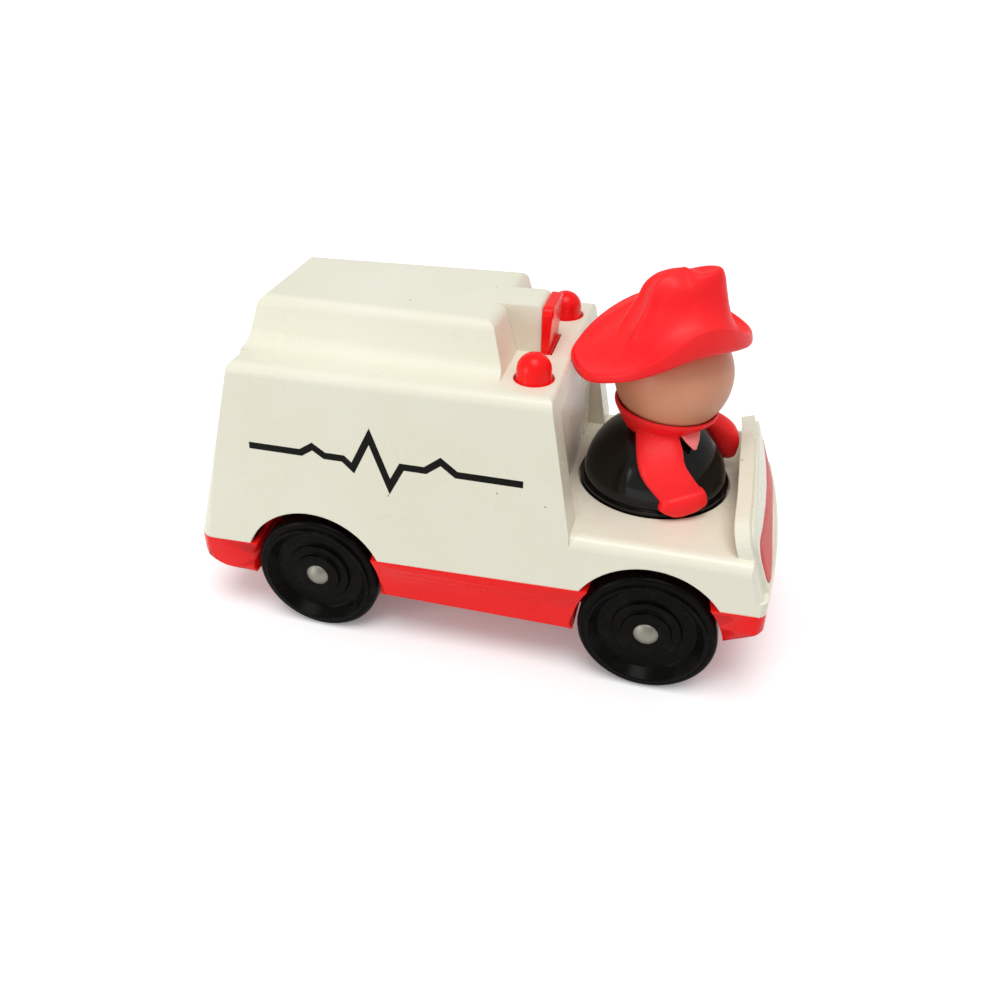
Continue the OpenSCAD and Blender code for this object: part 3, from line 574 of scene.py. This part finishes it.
# %% Merged copy of the base
# The ends of the housings lie further out than the rim, between two radii round an axle, and above the
# sill, whose top has a height at the rear and a rise ahead of it
housing_rim = 32.0
housing_radii = (18.6, 20.7)
sill_top = (26.2, 0.031)
housing_end = 28.5
weld_within = 0.001 * MM
sharp_angle = np.radians(30)
merged = bmesh.new()
merged.from_mesh(nodes["base"].data)
bmesh.ops.remove_doubles(merged, verts=merged.verts, dist=weld_within)
base_mesh = nodes["base"].data.copy()
merged.to_mesh(base_mesh)
merged.free()
base_points = np.empty(len(base_mesh.vertices) * 3)
base_mesh.vertices.foreach_get("co", base_points)
base_points = base_points.reshape(-1, 3) / MM
print("merged base", len(base_points), "points of", len(nodes["base"].data.vertices))

# %% Base with deep housings
base_x, base_y, base_z = base_points.T
axle_boxes = [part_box(name) for name in ("rear_axle", "front_axle")]
axle_mids = [sum(np.array(corner) / MM for corner in box) / 2 for box in axle_boxes]
from_axle = np.min([np.hypot(base_x - mid[0], base_z - mid[2]) for mid in axle_mids], axis=0)
in_ring = (from_axle > housing_radii[0]) & (from_axle < housing_radii[1])
above_sill = base_z > sill_top[0] + sill_top[1] * (base_x - base_x.min())
set_back = in_ring & above_sill & (np.abs(base_y) > housing_rim)
base_points[set_back, 1] = np.sign(base_points[set_back, 1]) * housing_end
base_mesh.vertices.foreach_set("co", (base_points * MM).ravel())
base_mesh.update()
base_mesh.polygons.foreach_set("use_smooth", np.ones(len(base_mesh.polygons), bool))
base_mesh.set_sharp_from_angle(angle=sharp_angle)
deep_base = bpy.data.objects.new("deep_base", base_mesh)
bpy.context.collection.objects.link(deep_base)
deep_base.modifiers.new("flat_faces", "WEIGHTED_NORMAL").keep_sharp = True
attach(deep_base, "ambulance")
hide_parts("base")
print("housing points set back:", int(set_back.sum()), "of", len(base_points))

# %% [markdown]
# ## Front panel
# The red panel on the leaning front looks plain and dull from the side. It is a rounded oblong, flush
# with the white rim round it, and follows the front's shallow bow. A flat plate with a Simple Deform
# modifier would be one way. Here rings of one outline, drawn in to its middle, give the sheet enough
# points to bend by a formula, with the front's own radius.

# %% Front panel
front_lean = np.radians(19)
bow_r = 250.0
panel_foot = np.array([77.3, 0.0, 33.8])
panel_mid_up = 6.7
panel_half_w, panel_half_h, panel_corner_r = 28, 6, 4
panel_seat = 0.1
panel_out = 0.85
panel_round = 0.15
# Sizes of the outline from the edge in to the middle
panel_scales = np.linspace(0.99, 0.02, 9)
outline_points = 160
off_axis = 0.01


def oblong(half_w, half_h, corner_r):
    """An outline with round corners: the corner's circle, moved out by the signs of its cosine and
    sine. It starts a little off the axis, where a sign would be zero."""
    turn = np.linspace(0, 2 * np.pi, outline_points, endpoint=False) + off_axis
    across = (half_w - corner_r) * np.sign(np.cos(turn)) + corner_r * np.cos(turn)
    up = (half_h - corner_r) * np.sign(np.sin(turn)) + corner_r * np.sin(turn)
    return across, up


def panel_rows():
    """Rings round the edge, from the back to the front, and then in to the middle. The bow sets each
    point back by its distance from the tangent of a circle, and the lean turns all about Y."""
    across, up = oblong(panel_half_w, panel_half_h, panel_corner_r)
    scale = np.append([1, 1], panel_scales)[:, None]
    face = np.full(len(panel_scales), panel_out)
    out = np.append([panel_seat, panel_out - panel_round], face)[:, None]
    across, up = scale * across, panel_mid_up + scale * up
    ahead = out + np.sqrt(bow_r**2 - across**2) - bow_r
    return panel_foot + np.stack([
        ahead * np.cos(front_lean) - up * np.sin(front_lean), across,
        ahead * np.sin(front_lean) + up * np.cos(front_lean)], axis=-1)


dull_red = keep(red_vinyl("dull_red", (0.62, 0.030, 0.026, 1), (0.72, 0.055, 0.045, 1)))
panel = make_piece("front_panel", [ring_surface(panel_rows())], dull_red, "ambulance")
panel.data.set_sharp_from_angle(angle=sharp_angle)
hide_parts("front_grille")

# %% [markdown]
# ## Roof lights
# Two round lights and an upright lens stand in openings of the ledge. A Screw modifier could turn a
# light's profile about its upright axis. Here rings do it, as on the hat: a foot that fills its hole, a
# short wall and a round top. The lens is a thin plate with round corners, which leans ahead towards its
# top. A small level plate closes the opening round it.

# %% Sizes of the roof lights
light_low, light_high = (np.array(corner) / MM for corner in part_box("light_bar"))
light_x, light_r = (light_high + light_low)[0] / 2, (light_high - light_low)[0] / 2
light_y = light_high[1] - light_r
ledge_z = 80.3
light_h = 6.7
# Profile of a light's foot: radius, and height above the ledge
light_foot = [(4.95, -3), (4.95, -0.9), (4.8, -0.6), (4.5, -0.45), (light_r, -0.2)]
light_arc = np.linspace(0, np.radians(88), 14)
light_turn = np.linspace(0, 2 * np.pi, 72, endpoint=False)
light_sharp_angle = np.radians(40)
lens_half_w, lens_corner_r = 7.0, 2.2
lens_foot_z = ledge_z - 1.5
lens_top_z = light_high[2] + 0.6
lens_lean = 1.0
# The plate from back to front: places along X from the lights' line, and sizes of the outline there
lens_faces = np.array([-1.2, -0.95, 0.4, 0.65])[:, None]
lens_scale = np.array([0.96, 1, 1, 0.96])[:, None]
# The level plate in the lens's opening: half sizes, corner radius, and heights from the ledge
plate_half_w, plate_half_d, plate_corner_r = 6.6, 1.25, 0.3
plate_levels = np.array([-1.6, -0.25])[:, None]
print("lights at x", light_x.round(2), "y", light_y.round(2), "radius", light_r.round(2))


# %% Rings of the roof lights
def light_rows(side):
    """A profile of radius and height above the ledge, turned about an upright axis. Its top is a
    quarter circle."""
    cap_z = light_h - light_r + light_r * np.sin(light_arc)
    cap = np.stack([light_r * np.cos(light_arc), cap_z], axis=-1)
    radius, up = np.concatenate([light_foot, cap]).T[..., None]
    ring_x = light_x + radius * np.cos(light_turn)
    ring_y = side * light_y + radius * np.sin(light_turn)
    return np.stack(np.broadcast_arrays(ring_x, ring_y, ledge_z + up), axis=-1)


def lens_rows():
    """Four outlines through the thickness, smaller at both faces. The front's lean grows with the
    height."""
    across, up = oblong(lens_half_w, (lens_top_z - lens_foot_z) / 2, lens_corner_r)
    up = (lens_top_z + lens_foot_z) / 2 + lens_scale * up
    rise = np.maximum(up - ledge_z, 0) / (lens_top_z - ledge_z)
    ahead = lens_faces + lens_lean * rise * (lens_faces > 0)
    return np.stack([light_x + ahead, lens_scale * across, up], axis=-1)


def lens_foot_rows():
    """Two level outlines, one above the other, that fill the lens's opening just below the ledge."""
    across, along = oblong(plate_half_w, plate_half_d, plate_corner_r)
    return np.stack(np.broadcast_arrays(light_x + along, across, ledge_z + plate_levels), axis=-1)


# %% Roof lights
light_parts = (light_rows(1), light_rows(-1), lens_rows(), lens_foot_rows())
light_surfaces = [ring_surface(rows) for rows in light_parts]
lights = make_piece("roof_lights", light_surfaces, finishes["red_plastic"], "ambulance")
lights.data.set_sharp_from_angle(angle=light_sharp_angle)
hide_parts("light_bar")

# %% [markdown]
# ## Pulse line
# The sides carry a black print, a plain heartbeat line. A picture could be mapped on the wall, but a bar
# carried along a path of points on the leaning side stays sharp. Its corners are mitred: a corner's
# offset is the sum of the two normals there, divided by one plus their product.

# %% Pulse line on both sides
side_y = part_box("body_shell")[1][1] / MM
side_belt_z = 25.3
side_in = 2.8
print_from_x = -58.5
print_to_x = 15.5
print_z = 57.4
print_up = 7.4
stroke = 1.9
ink_t = 0.05
# Points of the line: along it in shares of its length, and up in shares of its height
pulse_shares = np.array([
    (0, 0), (0.2, 0), (0.245, 0.3), (0.29, 0), (0.36, 0), (0.395, -0.32), (0.46, 1), (0.53, -0.85),
    (0.575, 0), (0.66, 0), (0.715, 0.42), (0.77, 0), (1, 0),
])


def pulse_rows(side):
    """A bar of four corners at each point of the line, half a stroke to each side, and half of its
    thickness in the wall."""
    path = np.array([print_from_x, print_z]) + pulse_shares * [print_to_x - print_from_x, print_up]
    run = np.diff(path, axis=0)
    normal = np.stack([-run[:, 1], run[:, 0]], axis=-1) / np.linalg.norm(run, axis=1)[:, None]
    before, after = np.concatenate([normal[:1], normal]), np.concatenate([normal, normal[-1:]])
    mitre = (before + after) / (1 + np.sum(before * after, axis=1))[:, None] * stroke / 2
    flat = np.stack([path + mitre, path - mitre, path - mitre, path + mitre], axis=1)
    lean = side_y - side_in * (flat[..., 1] - side_belt_z) / (ledge_z - side_belt_z)
    out = lean + ink_t * np.array([1, 1, -1, -1])
    return np.stack([flat[..., 0], side * out, flat[..., 1]], axis=-1)


ink = keep(black_plastic("print_ink", polished=0.4, worn=0.6, shine=0.1))
for name, side in (("pulse_right", -1), ("pulse_left", 1)):
    pulse = make_piece(name, [ring_surface(pulse_rows(side))], ink, "ambulance")
    pulse.data.polygons.foreach_set("use_smooth", np.zeros(len(pulse.data.polygons), bool))

# %% [markdown]
# ## Studio
# A pale floor, a wide soft light from above and in front, a tall window lamp on the left that gives the
# dome its highlight, and an even white world. The floor is white where it is seen and darker for the
# light that it throws back, so that the undersides keep their shade. A backdrop could be bent up behind,
# but the camera looks down and sees the floor alone.

# %% Floor
floor_bounce = 0.6
floor_glow = 0.12
floor_mesh = bpy.data.meshes.new("floor")
floor_half = 4.0
corners = np.array([[-1, -1, 0], [1, -1, 0], [1, 1, 0], [-1, 1, 0]]) * floor_half
floor_mesh.from_pydata(corners.tolist(), [], [(0, 1, 2, 3)])
floor = bpy.data.objects.new("floor", floor_mesh)
bpy.context.collection.objects.link(floor)
floor_finish, floor_tree, floor_shader = new_finish("floor", Roughness=0.8, Specular_IOR_Level=0.0)
light_path = add(floor_tree, "LightPath").outputs
seen = light_path["Is Camera Ray"]
for ray in ("Is Glossy Ray", "Is Transmission Ray"):
    seen = add(floor_tree, "Math", {0: seen, 1: light_path[ray]}, operation="MAXIMUM").outputs[0]
floor_colour = mix_colour(floor_tree, seen, (floor_bounce, floor_bounce, floor_bounce, 1), (1, 1, 1, 1))
floor_tree.links.new(floor_colour, floor_shader.inputs["Base Color"])
floor_shader.inputs["Emission Color"].default_value = (1, 1, 1, 1)
floor_tree.links.new(multiply(floor_tree, seen, floor_glow), floor_shader.inputs["Emission Strength"])
floor_mesh.materials.append(floor_finish)
print("floor", 2 * floor_half, "m wide")

# %% World and lamps
world_strength = 0.55
world = bpy.data.worlds.new("studio")
world.use_nodes = True
background = world.node_tree.nodes["Background"].inputs
background["Color"].default_value = (1, 1, 1, 1)
background["Strength"].default_value = world_strength
bpy.context.scene.world = world


def lamp(kind, name, place_m, target_m, **settings):
    """A lamp of that kind that looks at a point."""
    data = bpy.data.lights.new(name, kind)
    for key, value in settings.items():
        setattr(data, key, value)
    made = bpy.data.objects.new(name, data)
    bpy.context.collection.objects.link(made)
    made.location = place_m
    made.rotation_euler = (Vector(target_m) - Vector(place_m)).to_track_quat("-Z", "Y").to_euler()
    return made


middle = (0, 0, 0.05)
sky_place, window_place = (0.08, -0.27, 0.94), (-0.64, -0.7, 0.2)
lamp("SUN", "sky_lamp", sky_place, middle, energy=1.55, angle=np.radians(35))
lamp("AREA", "window_lamp", window_place, middle, energy=2.4, shape="RECTANGLE", size=0.24, size_y=0.6)
print("lamps at", sky_place, "and", window_place)

# %% [markdown]
# ## Camera
# The camera stands where the photograph was taken from. It could be placed by eye, but a fit of the
# wheels, the body and the driver's round forms to the picture gives its place, its axes and its lens. A
# shift of the lens puts the picture's middle where the fit has it, without turning the camera.

# %% Camera
camera_place = Vector((55.9, -221.6, 184.2)) * MM
right = Vector((0.9592, 0.2823, -0.0154))
down = Vector((0.1282, -0.4829, -0.8662))
ahead = Vector((-0.2520, 0.8289, -0.4994))
picture_px = 1000
focal_px = 941
middle_px = (456, 429)
camera_data = bpy.data.cameras.new("camera")
camera_data.sensor_width = 36
camera_data.lens = camera_data.sensor_width * focal_px / picture_px
camera_data.shift_x = 0.5 - middle_px[0] / picture_px
camera_data.shift_y = middle_px[1] / picture_px - 0.5
camera_data.clip_start = 0.01
camera_data.clip_end = 50
camera = bpy.data.objects.new("camera", camera_data)
bpy.context.collection.objects.link(camera)
camera_axes = Matrix((right, -down, -ahead)).transposed().to_4x4()
camera.matrix_world = Matrix.Translation(camera_place) @ camera_axes
bpy.context.scene.camera = camera
bpy.context.scene.view_settings.view_transform = "Standard"
print("camera lens", round(camera_data.lens, 2), "mm")
